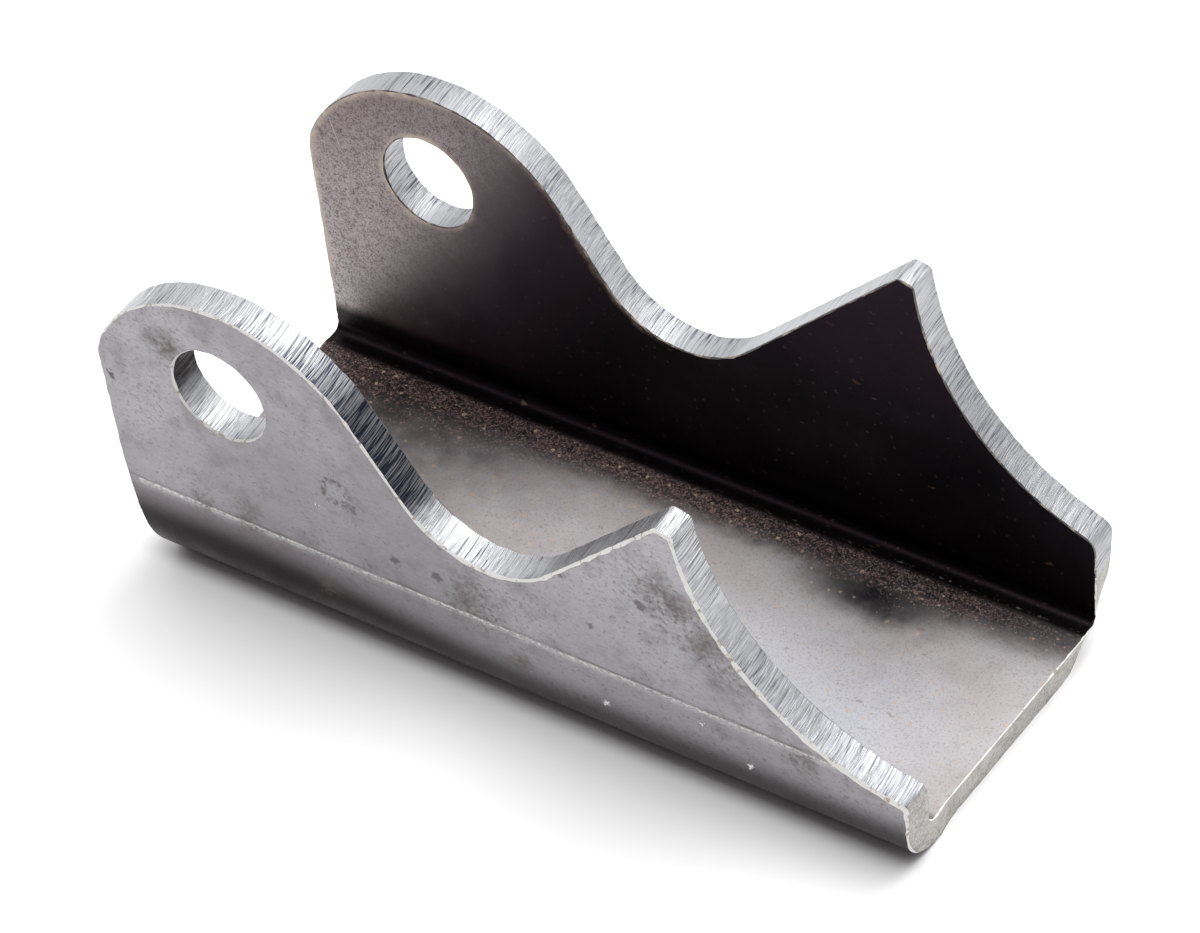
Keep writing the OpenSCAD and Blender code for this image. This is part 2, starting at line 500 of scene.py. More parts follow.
# %% Dent of the die, and the skin drawn in at the ends of the folds
DIE_DEPTH, DIE_START, DIE_HALF, DIE_WALL = 0.035, -57.2, 0.36, 0.12
BASE_PULL, BEND_PULL, BEND_REACH, END_REACH = 0.5, 2.0, 4.4, 3.0
PULL_TOP, PULL_FADE = height_to_v(19.0), 8.0
NEAR_SHARE, SIDE_FADE = 0.1, 5.0
bend_v = (fold_y + flange_v) / 2
rear_x = outline[np.abs(outline[:, 1]) < fold_y, 0].min()


def die_dent(p):
    off = np.abs(np.abs(p[:, 1]) - die_v)
    worn = np.clip(0.6 + 0.8 * wave(p[:, 0], 2.2, 6), 0, 1.3) * (p[:, 0] > DIE_START)
    return DIE_DEPTH * worn * np.clip((DIE_HALF - off) / DIE_WALL, 0, 1)


def drawn_in(x, v, w):
    low = np.clip((PULL_TOP - np.abs(v)) / PULL_FADE, 0, 1)
    pull = BASE_PULL * low + BEND_PULL * np.exp(-((np.abs(v) - bend_v) / BEND_REACH) ** 2)
    front = np.interp(v, [-flange_v, -fold_y, kink_v], [nose_x, corner_x, far_front])
    far_side = np.clip((v + fold_y) / SIDE_FADE, NEAR_SHARE, 1)
    to_rear = far_side * np.exp(-((front - x) / END_REACH) ** 2)
    to_front = np.exp(-((x - rear_x) / END_REACH) ** 2)
    return x + pull * (w / plate_t + 0.5) * (to_front - to_rear)


print(f"deepest dent of the die on the grid: {die_dent(grid).max():.3f} mm")

# %% [markdown]
# ## One closed mesh
# The outside face, the inside face and the cut's rows become one watertight mesh. Each
# point also keeps where it lies on the blank, how far along and across the cut it is,
# and how far it is from the nearest cut: the finishes below read these.

# %% Vertices with their places on the blank
ring_count = starts[-1]
rows = len(edges[0][0])
places, depths, alongs, acrosses = [], [], [], []
for r in range(rows):
    for edge_rows, s in edges:
        p, w = edge_rows[r]
        places.append(p)
        depths.append(w - (die_dent(p) if r == 0 else 0))
        alongs.append(s)
        acrosses.append(np.full(len(s), r / (rows - 1)))
for side in (1, -1):
    dent = die_dent(grid) if side == 1 else 0
    places.append(grid)
    depths.append(np.full(len(grid), side * plate_t / 2) - dent)
    alongs.append(np.zeros(len(grid)))
    acrosses.append(np.full(len(grid), 0.0 if side == 1 else 1.0))
places, depths = np.concatenate(places), np.concatenate(depths)
alongs, acrosses = np.concatenate(alongs), np.concatenate(acrosses)
drawn = drawn_in(places[:, 0], places[:, 1], depths)
vertices = fold(drawn, places[:, 1], depths) * MM
print("vertices:", len(vertices))

# %% [markdown]
# ## Faces and their finishes
# The two faces of the plate are mill scale, the flange edges are torch cut, the ends of
# the base are sheared, and the two bevels are burr and heat tint. The rows of the cut
# already say where a polygon lies, so each one gets the number of its finish here.

# %% Faces and their finishes
OUTSIDE, INSIDE, TORCH, SHEARED, BURR, HEAT = range(6)
grid_start = rows * ring_count


def face_ids(side):
    first = 0 if side == 1 else (rows - 1) * ring_count
    inner = grid_start if side == 1 else grid_start + len(grid)
    return np.where(triangles < ring_count, triangles + first, triangles - ring_count + inner)


polygons = [tuple(t[::-1]) for t in face_ids(1)]
finishes = [OUTSIDE] * len(polygons)
polygons += [tuple(t) for t in face_ids(-1)]
finishes += [INSIDE] * len(triangles)
for a, n in zip(starts, sizes):
    for r in range(rows - 1):
        low, high = r * ring_count + a, (r + 1) * ring_count + a
        for k in range(n):
            j = (k + 1) % n
            polygons.append((low + k, low + j, high + j, high + k))
            sheared = abs(places[low + k, 1]) < SHEAR_SPAN
            bevels = {0: BURR, rows - 2: BURR if sheared else HEAT}
            finishes.append(bevels.get(r, SHEARED if sheared else TORCH))
print("polygons in all:", len(polygons))

# %% [markdown]
# ## The mesh and what it remembers
# The plate is one piece, so it is one mesh object, smooth except where two faces meet at a
# steep angle. Attributes store each point's place on the blank. Texture coordinates could
# do that too, but an attribute stays on the metal through the folds without a seam.

# %% Mesh of the plate
SHARP_ANGLE = math.radians(28)
mesh = bpy.data.meshes.new("bracket_plate")
mesh.from_pydata(vertices.tolist(), [], polygons)
mesh.polygons.foreach_set("material_index", finishes)
mesh.polygons.foreach_set("use_smooth", [True] * len(polygons))
mesh.update()
mesh.validate()
mesh.set_sharp_from_angle(angle=SHARP_ANGLE)


def attribute(name, kind, values, key="value"):
    layer = mesh.attributes.new(name, kind, "POINT")
    layer.data.foreach_set(key, np.ravel(values).astype(np.float32))


attribute("blank", "FLOAT_VECTOR", np.column_stack([places, depths]), "vector")
attribute("along", "FLOAT", alongs)
attribute("across", "FLOAT", acrosses)
attribute("rim", "FLOAT", rim_distance(places))
plate = bpy.data.objects.new("bracket_plate", mesh)
bpy.context.scene.collection.objects.link(plate)
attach(plate, "root")
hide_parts("bracket")
print("polygons:", len(mesh.polygons))

# %% [markdown]
# ## A small language for finishes
# A finish is a tree of shader nodes. Writing it as plain expressions keeps it short: a
# socket is wrapped so that + - * and ** add Math nodes, also with a plain number on the
# left, as in 1 - mask.

# %% Sockets as values
class Socket:
    def __init__(self, finish, socket):
        self.finish, self.socket = finish, socket

    def math(self, operation, a, b):
        return self.finish.node("Math", {"operation": operation}, {0: a, 1: b})

    def __add__(self, other):
        return self.math("ADD", self, other)

    def __radd__(self, other):
        return self.math("ADD", other, self)

    def __sub__(self, other):
        return self.math("SUBTRACT", self, other)

    def __rsub__(self, other):
        return self.math("SUBTRACT", other, self)

    def __mul__(self, other):
        return self.math("MULTIPLY", self, other)

    def __rmul__(self, other):
        return self.math("MULTIPLY", other, self)

    def __pow__(self, other):
        return self.math("POWER", self, other)

    def __abs__(self):
        return self.math("ABSOLUTE", self, 0.0)


print("reflected operators:", [name for name in vars(Socket) if name.startswith("__r")])

# %% [markdown]
# ## Nodes as calls
# Every node comes from one method that takes the node's type, its settings and its
# sockets. A smooth ramp, a mix of two colours and vector maths are needed so often that
# they have short names of their own.

# %% A tree of nodes
class Nodes:
    def __init__(self, owner):
        owner.use_nodes = True
        self.tree = owner.node_tree
        self.tree.nodes.clear()

    def node(self, kind, settings=None, sockets=None, out=0):
        made = self.tree.nodes.new("ShaderNode" + kind)
        for key, value in (settings or {}).items():
            setattr(made, key, value)
        for key, value in (sockets or {}).items():
            if isinstance(value, Socket):
                self.tree.links.new(value.socket, made.inputs[key])
            elif made.inputs[key].type == "RGBA":
                made.inputs[key].default_value = (*value, 1)
            else:
                made.inputs[key].default_value = value
        return Socket(self, made.outputs[out]) if made.outputs else made

    def named(self, name, out="Fac"):
        return self.node("Attribute", {"attribute_name": name}, out=out)

    def ramp(self, value, low, high, to_low=0.0, to_high=1.0):
        return self.node("MapRange", {"interpolation_type": "SMOOTHSTEP"}, {
            "Value": value, "From Min": low, "From Max": high, "To Min": to_low, "To Max": to_high})

    def mix(self, a, b, share):
        return self.node("Mix", {"data_type": "RGBA"}, {"Factor": share, 6: a, 7: b}, out=2)

    def vector(self, operation, a, b, out=0):
        return self.node("VectorMath", {"operation": operation}, {0: a, 1: b}, out)


print("short names for nodes:", [name for name in vars(Nodes) if not name.startswith("_")])

# %% [markdown]
# ## Patterns that the finishes share
# Worn steel is made of a few patterns: clouds of noise, ragged spots, scratches and
# scattered dots. As methods they are written once.

# %% Patterns of a finish
class Finish(Nodes):
    def blank(self):
        place = self.named("blank", "Vector")
        x, v = [self.node("SeparateXYZ", {}, {0: place}, out=k) for k in (0, 1)]
        return place, x, v

    def noise(self, place, scale, detail, roughness, out=0):
        return self.node("TexNoise", {}, {
            "Vector": place, "Scale": scale, "Detail": detail, "Roughness": roughness}, out)

    def ragged(self, place, scale, reach):
        shake = self.vector("SUBTRACT", self.noise(place, scale, 3.0, 0.6, out=1), (0.5, 0.5, 0.5))
        return self.vector("ADD", place, self.vector("MULTIPLY", shake, (reach, reach, 0.0)))

    def spot(self, place, x, v, r, edge):
        flat_place = self.vector("MULTIPLY", place, (1.0, 1.0, 0.0))
        far = self.vector("DISTANCE", flat_place, (x, v, 0.0), out="Value")
        return self.ramp(far, r + edge, r - edge)

    def scratch(self, place, start, end, width):
        way = (Vector(end) - Vector(start)).normalized()
        half = math.dist(start, end) / 2
        middle = ((start[0] + end[0]) / 2, (start[1] + end[1]) / 2, 0.0)
        off = self.vector("SUBTRACT", place, middle)
        along = self.vector("DOT_PRODUCT", off, (way.x, way.y, 0.0), out="Value")
        aside = self.vector("DOT_PRODUCT", off, (-way.y, way.x, 0.0), out="Value")
        return self.ramp(abs(aside), width, width * 0.3) * self.ramp(abs(along), half, half * 0.5)

    def dots(self, place, scale, r, share):
        sockets = {"Vector": place, "Scale": scale}
        far = self.node("TexVoronoi", {"voronoi_dimensions": "2D"}, sockets, out="Distance")
        tint = self.node("TexVoronoi", {"voronoi_dimensions": "2D"}, sockets, out="Color")
        draw = self.node("SeparateXYZ", {}, {0: tint})
        size = self.node("SeparateXYZ", {}, {0: tint}, out=1) * r * scale
        return self.ramp(far - size, r * scale * 0.25, 0.0) * self.ramp(draw, share + 0.02, share)

    def metal(self, **sockets):
        shader = self.node("BsdfPrincipled", {}, {k.replace("_", " "): s for k, s in sockets.items()})
        self.node("OutputMaterial", {}, {"Surface": shader})


def new_finish(name):
    material = bpy.data.materials.new(name)
    mesh.materials.append(material)
    return Finish(material)


print("patterns for finishes:", [name for name in vars(Finish) if not name.startswith("_")])

# %% [markdown]
# ## Mill scale outside
# Hot rolling leaves a thin grey oxide that is smooth, slightly glossy and blotched with
# brown. It behaves like a dark metal: most of what it shows is a blurred reflection of
# what it faces. Below the line that the press brake's die left, the plate is darker, and
# toward the fold a painted shade turns it nearly black. Handling left stains, flaked
# spots and a few bright nicks.

# %% Places of the marks on the near flange, as x and height in mm, with a radius
STAINS = [(-47.6, 42.3, 2.4), (-46.1, 15.8, 1.8), (-39.0, 16.4, 2.6), (-27.2, 9.6, 1.5),
          (33.9, 27.0, 5.2), (26.0, 32.0, 4.0), (-3.5, 17.5, 4.4), (44.0, 13.0, 2.2),
          (-20.0, 17.0, 1.4), (2.0, 10.5, 1.6)]
SPOTS = [(22.6, 30.3, 0.75), (-15.4, 19.9, 0.7), (-8.9, 20.0, 0.8), (10.8, 29.9, 0.5),
         (14.5, 22.8, 0.5), (-21.0, 26.2, 0.6), (-57.9, 33.4, 0.5)]
NICKS = [(36.7, 8.6, 0.4), (15.5, 9.4, 0.4), (-27.0, 24.5, 0.2), (30.0, 13.0, 0.25)]
RING = (-23.2, 28.2, 1.9)


def near(z):
    return -height_to_v(z)


EDGE_MARK = (-58.8, near(34.4)), (-57.2, near(32.4))


def any_spot(f, place, spots, edge):
    most = 0.0
    for x, z, r in spots:
        one = f.spot(place, x, near(z), r, edge * r)
        most = f.node("Math", {"operation": "MAXIMUM"}, {0: most, 1: one})
    return most


print("stains, spots and nicks:", len(STAINS), len(SPOTS), len(NICKS))

# %% [markdown]
# ## Grey of the outside
# The oxide's grey is never even. It has clouds, brown blotches, a grain along the part and
# fine specks. Noises of several sizes, each mixed in weakly, come closer to that than one
# strong noise. Toward the fold a painted shade turns the plate nearly black.

# %% Grey of the outside
BEND_SHADE_TOP, BEND_SHADE_FOOT = flange_v + 8.0, flange_v + 1.8


def outside_tone(f, x, v, noises):
    clouds, blotch, grain, speck, dust = noises
    base = f.mix((0.29, 0.28, 0.295), (0.35, 0.34, 0.36), f.ramp(clouds, 0.35, 0.65))
    base = f.mix(base, (0.42, 0.41, 0.43), f.ramp(x, -20.0, 30.0) * 0.55)
    base = f.mix(base, (0.44, 0.43, 0.44), f.ramp(dust, 0.46, 0.26) * 0.5)
    base = f.mix(base, (0.21, 0.19, 0.195), f.ramp(blotch, 0.46, 0.72) * 0.5)
    base = f.mix(base, (0.20, 0.185, 0.19), f.ramp(grain, 0.5, 0.68) * 0.35)
    base = f.mix(base, (0.14, 0.115, 0.11), f.ramp(speck + clouds * 0.3, 0.72, 0.84) * 0.5)
    base = f.mix(base, (0.17, 0.15, 0.15), f.ramp(dust, 0.52, 0.7) * 0.4)
    below = f.ramp(abs(v) - die_v, -0.1, -1.6)
    base = f.mix(base, (0.15, 0.115, 0.12), below * f.ramp(x, -40.0, 5.0, 0.5, 0.2))
    # Painted shade: toward the fold the bend is darkened nearly to black, for the dark floor it reflects.
    reach = abs(v) + blotch * 1.6 + f.ramp(x, -45.0, 5.0) * 3.2
    bend_shade = f.ramp(reach, BEND_SHADE_TOP, BEND_SHADE_FOOT)
    return f.mix(base, (0.012, 0.007, 0.008), bend_shade * 0.98)


print(f"the worked band ends between {BEND_SHADE_FOOT:.1f} and {BEND_SHADE_TOP:.1f} mm across the blank")

# %% [markdown]
# ## Marks of handling
# A workshop part has stains, a faint ring, flaked spots, small bright nicks and a short
# dark mark at the rear edge. Each is a spot whose place is shaken by a noise, so that no
# outline is a clean circle.

# %% Stains, ring, spots, nicks and the mark at the edge
def handling_marks(f, place, base, stain, blotch, speck, dust):
    torn = f.ragged(place, 1.6, 2.2)
    base = f.mix(base, (0.135, 0.105, 0.09), stain * f.ramp(dust, 0.3, 0.6, 0.35, 0.7))
    flat_place = f.vector("MULTIPLY", torn, (1.0, 1.0, 0.0))
    ring_far = f.vector("DISTANCE", flat_place, (RING[0], near(RING[1]), 0.0), out="Value")
    ring = f.ramp(abs(ring_far - RING[2]), 0.9, 0.2) * f.ramp(blotch * 0.5 + speck * 0.5, 0.4, 0.55)
    dark = f.node("Math", {"operation": "MAXIMUM"}, {0: ring, 1: any_spot(f, torn, SPOTS, 0.4)})
    base = f.mix(base, (0.09, 0.07, 0.068), dark * 0.7)
    base = f.mix(base, (0.85, 0.83, 0.80), any_spot(f, torn, NICKS, 0.5))
    mark = f.scratch(f.ragged(place, 1.2, 0.8), *EDGE_MARK, 0.22)
    return f.mix(base, (0.09, 0.06, 0.05), mark * 0.8)


print(f"the ring is {2 * RING[2]:.1f} mm wide; the mark is {math.dist(*EDGE_MARK):.1f} mm long")

# %% [markdown]
# ## Line of the die
# Along the dent the die rubbed the scale off in crumbs, and left a thin dark trace above.
# The dent alone catches too little light, so the rubbed metal is painted as a chipped
# pale line that follows it.

# %% Pale line and dark trace along the die's dent
def die_line(f, place, x, v, base):
    streak = f.noise(f.vector("MULTIPLY", place, (0.16, 3.0, 1.0)), 1.3, 4.0, 0.7)
    crumbs = f.noise(place, 2.4, 2.0, 0.6)
    worn = f.ramp(streak * 0.5 + crumbs * 0.5, 0.38, 0.56) * f.ramp(x, DIE_START, DIE_START + 0.6)
    chipped = abs(f.node("SeparateXYZ", {}, {0: f.ragged(place, 1.4, 0.9)}, out=1)) - die_v
    base = f.mix(base, (0.47, 0.45, 0.44), f.ramp(abs(chipped), 0.55, 0.3) * worn * 0.75)
    line_light = f.ramp(abs(chipped - 0.2), 0.24, 0.08) * f.ramp(crumbs, 0.4, 0.56) * worn
    base = f.mix(base, (0.74, 0.72, 0.70), line_light * 0.8)
    line_dark = f.ramp(abs(abs(v) - die_v - 0.7), 0.36, 0.1) * f.ramp(streak, 0.4, 0.58)
    return f.mix(base, (0.12, 0.10, 0.09), line_dark * 0.65)


print(f"the die's line lies {die_v:.2f} mm from the centre line of the blank")

# %% [markdown]
# ## Outside scale put together
# Scale is a metal look with a rather wide highlight. Stains are less metallic and rougher
# than clean scale, so the same mask drives colour, metal and roughness. A weak bump
# gives the surface its fine tooth.

# %% Outside scale
def scale_outside():
    f = new_finish("mill_scale_outside")
    place, x, v = f.blank()
    clouds = f.noise(place, 0.05, 4.0, 0.6)
    blotch = f.noise(place, 0.24, 5.0, 0.62)
    grain = f.noise(f.vector("MULTIPLY", place, (0.4, 2.4, 1.0)), 1.7, 3.0, 0.6)
    speck = f.noise(place, 1.6, 3.0, 0.6)
    dust = f.noise(place, 2.2, 6.0, 0.8)
    base = outside_tone(f, x, v, (clouds, blotch, grain, speck, dust))
    torn = f.ragged(place, 0.7, 3.6)
    stain = any_spot(f, torn, STAINS, 0.7) * f.ramp(speck * 0.5 + blotch * 0.5, 0.36, 0.62)
    base = handling_marks(f, place, base, stain, blotch, speck, dust)
    base = die_line(f, place, x, v, base)
    bump = f.node("Bump", {}, {"Strength": 0.16, "Distance": 0.0002,
                               "Height": grain * 0.7 + blotch * 0.5 + dust * 0.35})
    f.metal(Base_Color=base, Metallic=0.92 - stain * 0.4, Normal=bump,
            Roughness=f.ramp(blotch, 0.3, 0.75, 0.34, 0.48) + stain * 0.15)


scale_outside()
print("nodes in the outside scale:", len(mesh.materials[OUTSIDE].node_tree.nodes))

# %% [markdown]
# ## Mill scale inside
# The walls inside the channel are dark scale, painted nearly black as shade for the dark
# channel they face, with a few rust specks. They are paler toward the top and at the rear
# lug, a painted reflection of the room above the near flange. One noise shifts the border
# between dark and pale, so that it wanders.

# %% Inside walls
LUG_V = height_to_v(plate_t)
LUG_SCRATCH = (-55.7, height_to_v(43.4)), (-53.9, height_to_v(36.8))


def wall_tone(f, place, x, v, clouds, speck, dust, grit):
    high = abs(v) - LUG_V
    ahead = x - high * 0.65 + clouds * 12.0 - rear_x
    # Painted shade: a near-black base for the walls, lighter toward the top and the rear as a painted
    # reflection.
    wall = f.mix((0.004, 0.0025, 0.004), (0.013, 0.008, 0.012), f.ramp(clouds, 0.4, 0.7))
    wall = f.mix(wall, (0.060, 0.036, 0.052), f.ramp(high, 16.0, 46.0))
    wall = f.mix(wall, (0.075, 0.05, 0.066), f.ramp(ahead, 44.0, 16.0))
    # Painted reflection: the rear lug is paler.
    lug = f.ramp(ahead, 25.0, -2.0)
    wall = f.mix(wall, (0.34, 0.295, 0.30), lug)
    wall = f.mix(wall, (0.47, 0.43, 0.43), f.ramp(ahead + high, 17.0, 8.0) * 0.6)
    wall = f.mix(wall, (0.16, 0.125, 0.125), f.ramp(high - x * 0.5, 52.0, 72.0) * lug * 0.7)
    peppered = f.ramp(speck * 0.3 + dust * 0.2 + grit * 0.5, 0.45, 0.6)
    wall = f.mix(wall, (0.085, 0.058, 0.05), peppered * lug * 0.85)
    return f.mix(wall, (0.60, 0.57, 0.56), f.scratch(place, *LUG_SCRATCH, 0.14) * 0.3)


print(f"the scratch on the far lug is {math.dist(*LUG_SCRATCH):.1f} mm long")

# %% [markdown]
# ## Floor of the channel
# The floor is grey and dull, with a painted bluish sheen toward the front and the near
# side and a painted shade at the rear. Beside the far fold it is nearly black, partly
# rust dust and partly painted shade, with one painted dark reflection in the middle. Each
# of these is a soft ramp along x or v, bent by a noise.

# %% Floor of the channel
def deck_tone(f, x, v, dust_and_shade, patch, clouds, blotch, dust, grit):
    floor = f.mix((0.50, 0.455, 0.45), (0.57, 0.54, 0.55), f.ramp(clouds, 0.35, 0.65))
    # Painted reflection: a bluish sheen toward the front and the near side.
    blue_sheen = f.ramp(v, 9.0, -9.0) * f.ramp(x, 2.0, 24.0) * f.ramp(x, 58.0, 40.0)
    floor = f.mix(floor, (0.61, 0.62, 0.68), blue_sheen * 0.75)
    floor = f.mix(floor, (0.26, 0.225, 0.22), f.ramp(dust * 0.45 + grit * 0.55, 0.48, 0.66) * 0.5)
    # Painted shade: darker toward the rear, where the lugs block the light.
    rear = f.ramp(x + blotch * 12.0, -4.0, -44.0) * f.ramp(v, -2.0, 12.0, 0.15, 0.95)
    floor = f.mix(floor, (0.085, 0.07, 0.07), rear)
    # Partly rust dust, partly painted shade: the band beside the far fold goes nearly black.
    floor = f.mix(floor, (0.028, 0.020, 0.022), dust_and_shade * 0.93)
    # Painted dark reflection: one dark patch on the floor.
    return f.mix(floor, (0.02, 0.017, 0.025), patch * 0.95)


print(f"the floor is flat up to {fold_y:.2f} mm from the centre line")

# %% [markdown]
# ## Rust and grit
# Rust dust lies as tan grains in the dark band beside the far fold. The crease is painted
# black as shade, with a broken glint along it, and a few pale dots are scattered over the floor.
# Thresholds on fine noises give grains with hard borders.

# %% Rust grains, crease, glint and dots
def rust_marks(f, place, x, v, base, dust_and_shade, speck, dust, grit):
    loose = f.ramp(v, -4.0, 12.0) * f.ramp(x, 16.0, -12.0)
    beside = dust_and_shade * f.ramp(x, -30.0, 10.0, 0.07, 0.11)
    grains = speck * 0.3 + dust * 0.35 + grit * 0.35 + beside + loose * 0.04
    tan = f.ramp(grains, 0.56, 0.65) * f.ramp(v, fold_y + 0.7, fold_y - 0.7)
    tan_tone = f.mix((0.13, 0.078, 0.078), (0.42, 0.305, 0.27), f.ramp(grit, 0.5, 0.7))
    base = f.mix(base, tan_tone, tan * 0.85)
    # Painted shade: the crease is darkened nearly to black.
    creased = f.ramp(v, fold_y - 0.7, fold_y + 1.0) * f.ramp(v, flange_v + 2.6, flange_v)
    base = f.mix(base, (0.010, 0.006, 0.008), creased * 0.95)
    dash = f.noise(f.vector("MULTIPLY", place, (0.35, 0.0, 0.0)), 1.0, 3.0, 0.7)
    glint = f.ramp(abs(v - fold_y - 1.1), 0.36, 0.12) * f.ramp(dash * 0.6 + dust * 0.6, 0.62, 0.72)
    base = f.mix(base, (0.52, 0.48, 0.46), glint * f.ramp(x, 0.0, 36.0, 0.05, 0.8))
    rust = f.ramp(f.noise(f.vector("MULTIPLY", place, (0.6, 1.0, 1.0)), 0.75, 2.0, 0.5), 0.70, 0.76)
    base = f.mix(base, (0.20, 0.12, 0.09), rust * 0.4)
    dots = f.dots(f.ragged(place, 3.0, 0.7), 0.5, 0.26, 0.45)
    base = f.mix(base, (0.66, 0.51, 0.38), dots * f.ramp(abs(v), fold_y + 1.0, fold_y - 1.0, 0.05, 0.8))
    return base, tan


print(f"the crease runs from {fold_y:.2f} to {flange_v:.2f} mm across the blank")

# %% [markdown]
# ## Heat beside the cut
# The torch's heat left a tan rim on the far lug, along the cut. The distance to the nearest
# cut, kept with the mesh, says where it lies, and a noise breaks it up.

# %% Tan rim on the far lug
def heat_rim(f, x, v, base, blotch, speck, dust):
    heat = f.ramp(f.named("rim") + blotch * 2.2, 2.4, 1.1)
    heat = heat * f.ramp(x, -2.0, -12.0) * f.ramp(v, 30.0, 34.0)
    broken = f.ramp(speck * 0.5 + dust * 0.5, 0.36, 0.56)
    return f.mix(base, (0.50, 0.42, 0.345), heat * broken * 0.85)


print("farthest point from a cut:", round(float(rim_distance(grid).max()), 1), "mm")

# %% [markdown]
# ## Inside scale put together
# Walls and floor are one finish, mixed across the folds. Rust is less metallic than
# scale, and part of the floor has a dull sheen, so both lower the metal look there.

# %% Inside scale
def scale_inside():
    f = new_finish("mill_scale_inside")
    place, x, v = f.blank()
    deck = f.ramp(abs(v), flange_v - 2.0, fold_y + 1.0)
    clouds = f.noise(place, 0.06, 4.0, 0.6)
    blotch = f.noise(place, 0.3, 5.0, 0.62)
    speck = f.noise(place, 0.9, 6.0, 0.8)
    dust = f.noise(place, 2.0, 6.0, 0.8)
    grit = f.noise(place, 4.0, 3.0, 0.7)
    # Partly rust dust, partly painted shade: the band beside the far fold, which would show the dark far
    # wall.
    dust_and_shade = f.ramp(v + blotch * 6.0, 12.8, 18.2) * f.ramp(x, 40.0, 60.0, 1.0, 0.6)
    torn = f.vector("MULTIPLY", f.ragged(place, 0.3, 4.0), (0.4, 1.0, 0.0))
    # Painted dark reflection: a dark patch on the floor, which also takes away some sheen.
    patch = f.spot(torn, 12.9, 10.6, 2.9, 3.4)
    wall = wall_tone(f, place, x, v, clouds, speck, dust, grit)
    floor = deck_tone(f, x, v, dust_and_shade, patch, clouds, blotch, dust, grit)
    base = f.mix(wall, floor, deck)
    base, tan = rust_marks(f, place, x, v, base, dust_and_shade, speck, dust, grit)
    base = heat_rim(f, x, v, base, blotch, speck, dust)
    bump = f.node("Bump", {}, {"Strength": 0.2, "Distance": 0.0002,
                               "Height": blotch * 0.8 + speck * 0.4 + grit * 0.3})
    sheen = deck * f.ramp(v + blotch * 4.0, 18.0, 10.5) * f.ramp(x - v, -44.0, -8.0) * (1.0 - patch * 0.9)
    f.metal(Base_Color=base, Metallic=0.95 - tan * 0.4 - sheen * 0.6, Normal=bump,
            Roughness=f.ramp(blotch, 0.3, 0.75, 0.38, 0.48) - deck * 0.06 + tan * 0.15)


scale_inside()
print("nodes in the inside scale:", len(mesh.materials[INSIDE].node_tree.nodes))

# %% [markdown]
# ## Torch cut
# The torch's cut is bare steel with drag lines across the thickness. On the steep slope
# of the near lug it is blue-black. The lines are a noise that is stretched
# across the cut and follows the same lag as the ripples in the mesh.

# %% Torch cut
STRIPED, BLUE, SOOT = (-25.0, near(44.5)), (-16.2, near(36.5)), (-47.2, near(39.5))


def torch_cut():
    f = new_finish("torch_cut")
    place, x, v = f.blank()
    across = f.named("across")
    drag = f.node("CombineXYZ", {}, {"X": f.named("along") + across ** 2.0 * RIPPLE_LAG, "Y": across})
    coarse = f.noise(f.vector("MULTIPLY", drag, (1.9, 0.26, 1.0)), 1.0, 2.0, 0.5)
    fine = f.noise(f.vector("MULTIPLY", drag, (5.0, 0.5, 1.0)), 1.0, 2.0, 0.5)
    patch = f.noise(place, 0.14, 3.0, 0.6)
    ridge = f.ramp(abs(coarse - 0.5), 0.0, 0.05) * 0.5 + f.ramp(abs(fine - 0.5), 0.0, 0.07) * 0.5
    far_side = f.ramp(v, -5.0, 5.0)
    depth = f.ramp(patch, 0.3, 0.65, 0.35, 1.0)
    striped = f.spot(place, *STRIPED, 6.0, 2.5)
    clean = f.mix((0.55, 0.555, 0.57), (0.51, 0.515, 0.53), far_side)
    clean = f.mix(clean, (0.40, 0.405, 0.42), f.ramp(x, 28.0, 42.0) * 0.8)
    lines = f.ramp(ridge + striped * -0.25, 0.8, 0.2)
    base = f.mix(clean, (0.04, 0.045, 0.07), lines * (depth + striped * (1.0 - depth)))
    torn = f.ragged(place, 0.6, 4.0)
    blue = f.spot(torn, *BLUE, 8.6, 2.2)
    base = f.mix(base, (0.022, 0.025, 0.037), blue * f.ramp(ridge, 1.0, 0.7, 0.55, 1.0))
    soot = f.spot(torn, *SOOT, 3.6, 2.0)
    base = f.mix(base, (0.03, 0.025, 0.025), soot * f.ramp(ridge, 1.0, 0.6, 0.6, 1.0))
    bump = f.node("Bump", {}, {"Strength": 0.8, "Distance": 0.00004, "Height": ridge})
    f.metal(Base_Color=base, Metallic=1.0, Normal=bump,
            Roughness=f.ramp(fine, 0.3, 0.7, 0.24, 0.36) + far_side * 0.1)


torch_cut()
print("nodes in the torch cut:", len(mesh.materials[TORCH].node_tree.nodes))

# %% [markdown]
# ## Sheared ends and thin lines
# The ends of the base were sheared and are duller than the torch's cut. A thin burr runs
# along the outside of every cut as a pale line, partly its own colour and partly a painted
# highlight, and along the inside it is tan in places.
# The lines are the bevels of the mesh, so a plain finish with a little wear is enough.

# %% Sheared ends, burr line and heat line
def sheared_end():
    f = new_finish("sheared_end")
    place = f.named("blank", "Vector")
    grit = f.noise(place, 2.6, 4.0, 0.7)
    patch = f.noise(place, 0.5, 3.0, 0.6)
    base = f.mix((0.26, 0.24, 0.22), (0.52, 0.50, 0.475), f.ramp(grit * 0.7 + patch * 0.3, 0.36, 0.6))
    low = f.ramp(f.named("across") + patch * 0.3, 0.34, 0.16)
    base = f.mix(base, (0.16, 0.12, 0.10), low * 0.7)
    bump = f.node("Bump", {}, {"Strength": 0.45, "Distance": 0.0001, "Height": grit})
    f.metal(Base_Color=base, Metallic=0.6, Roughness=0.5, Normal=bump)


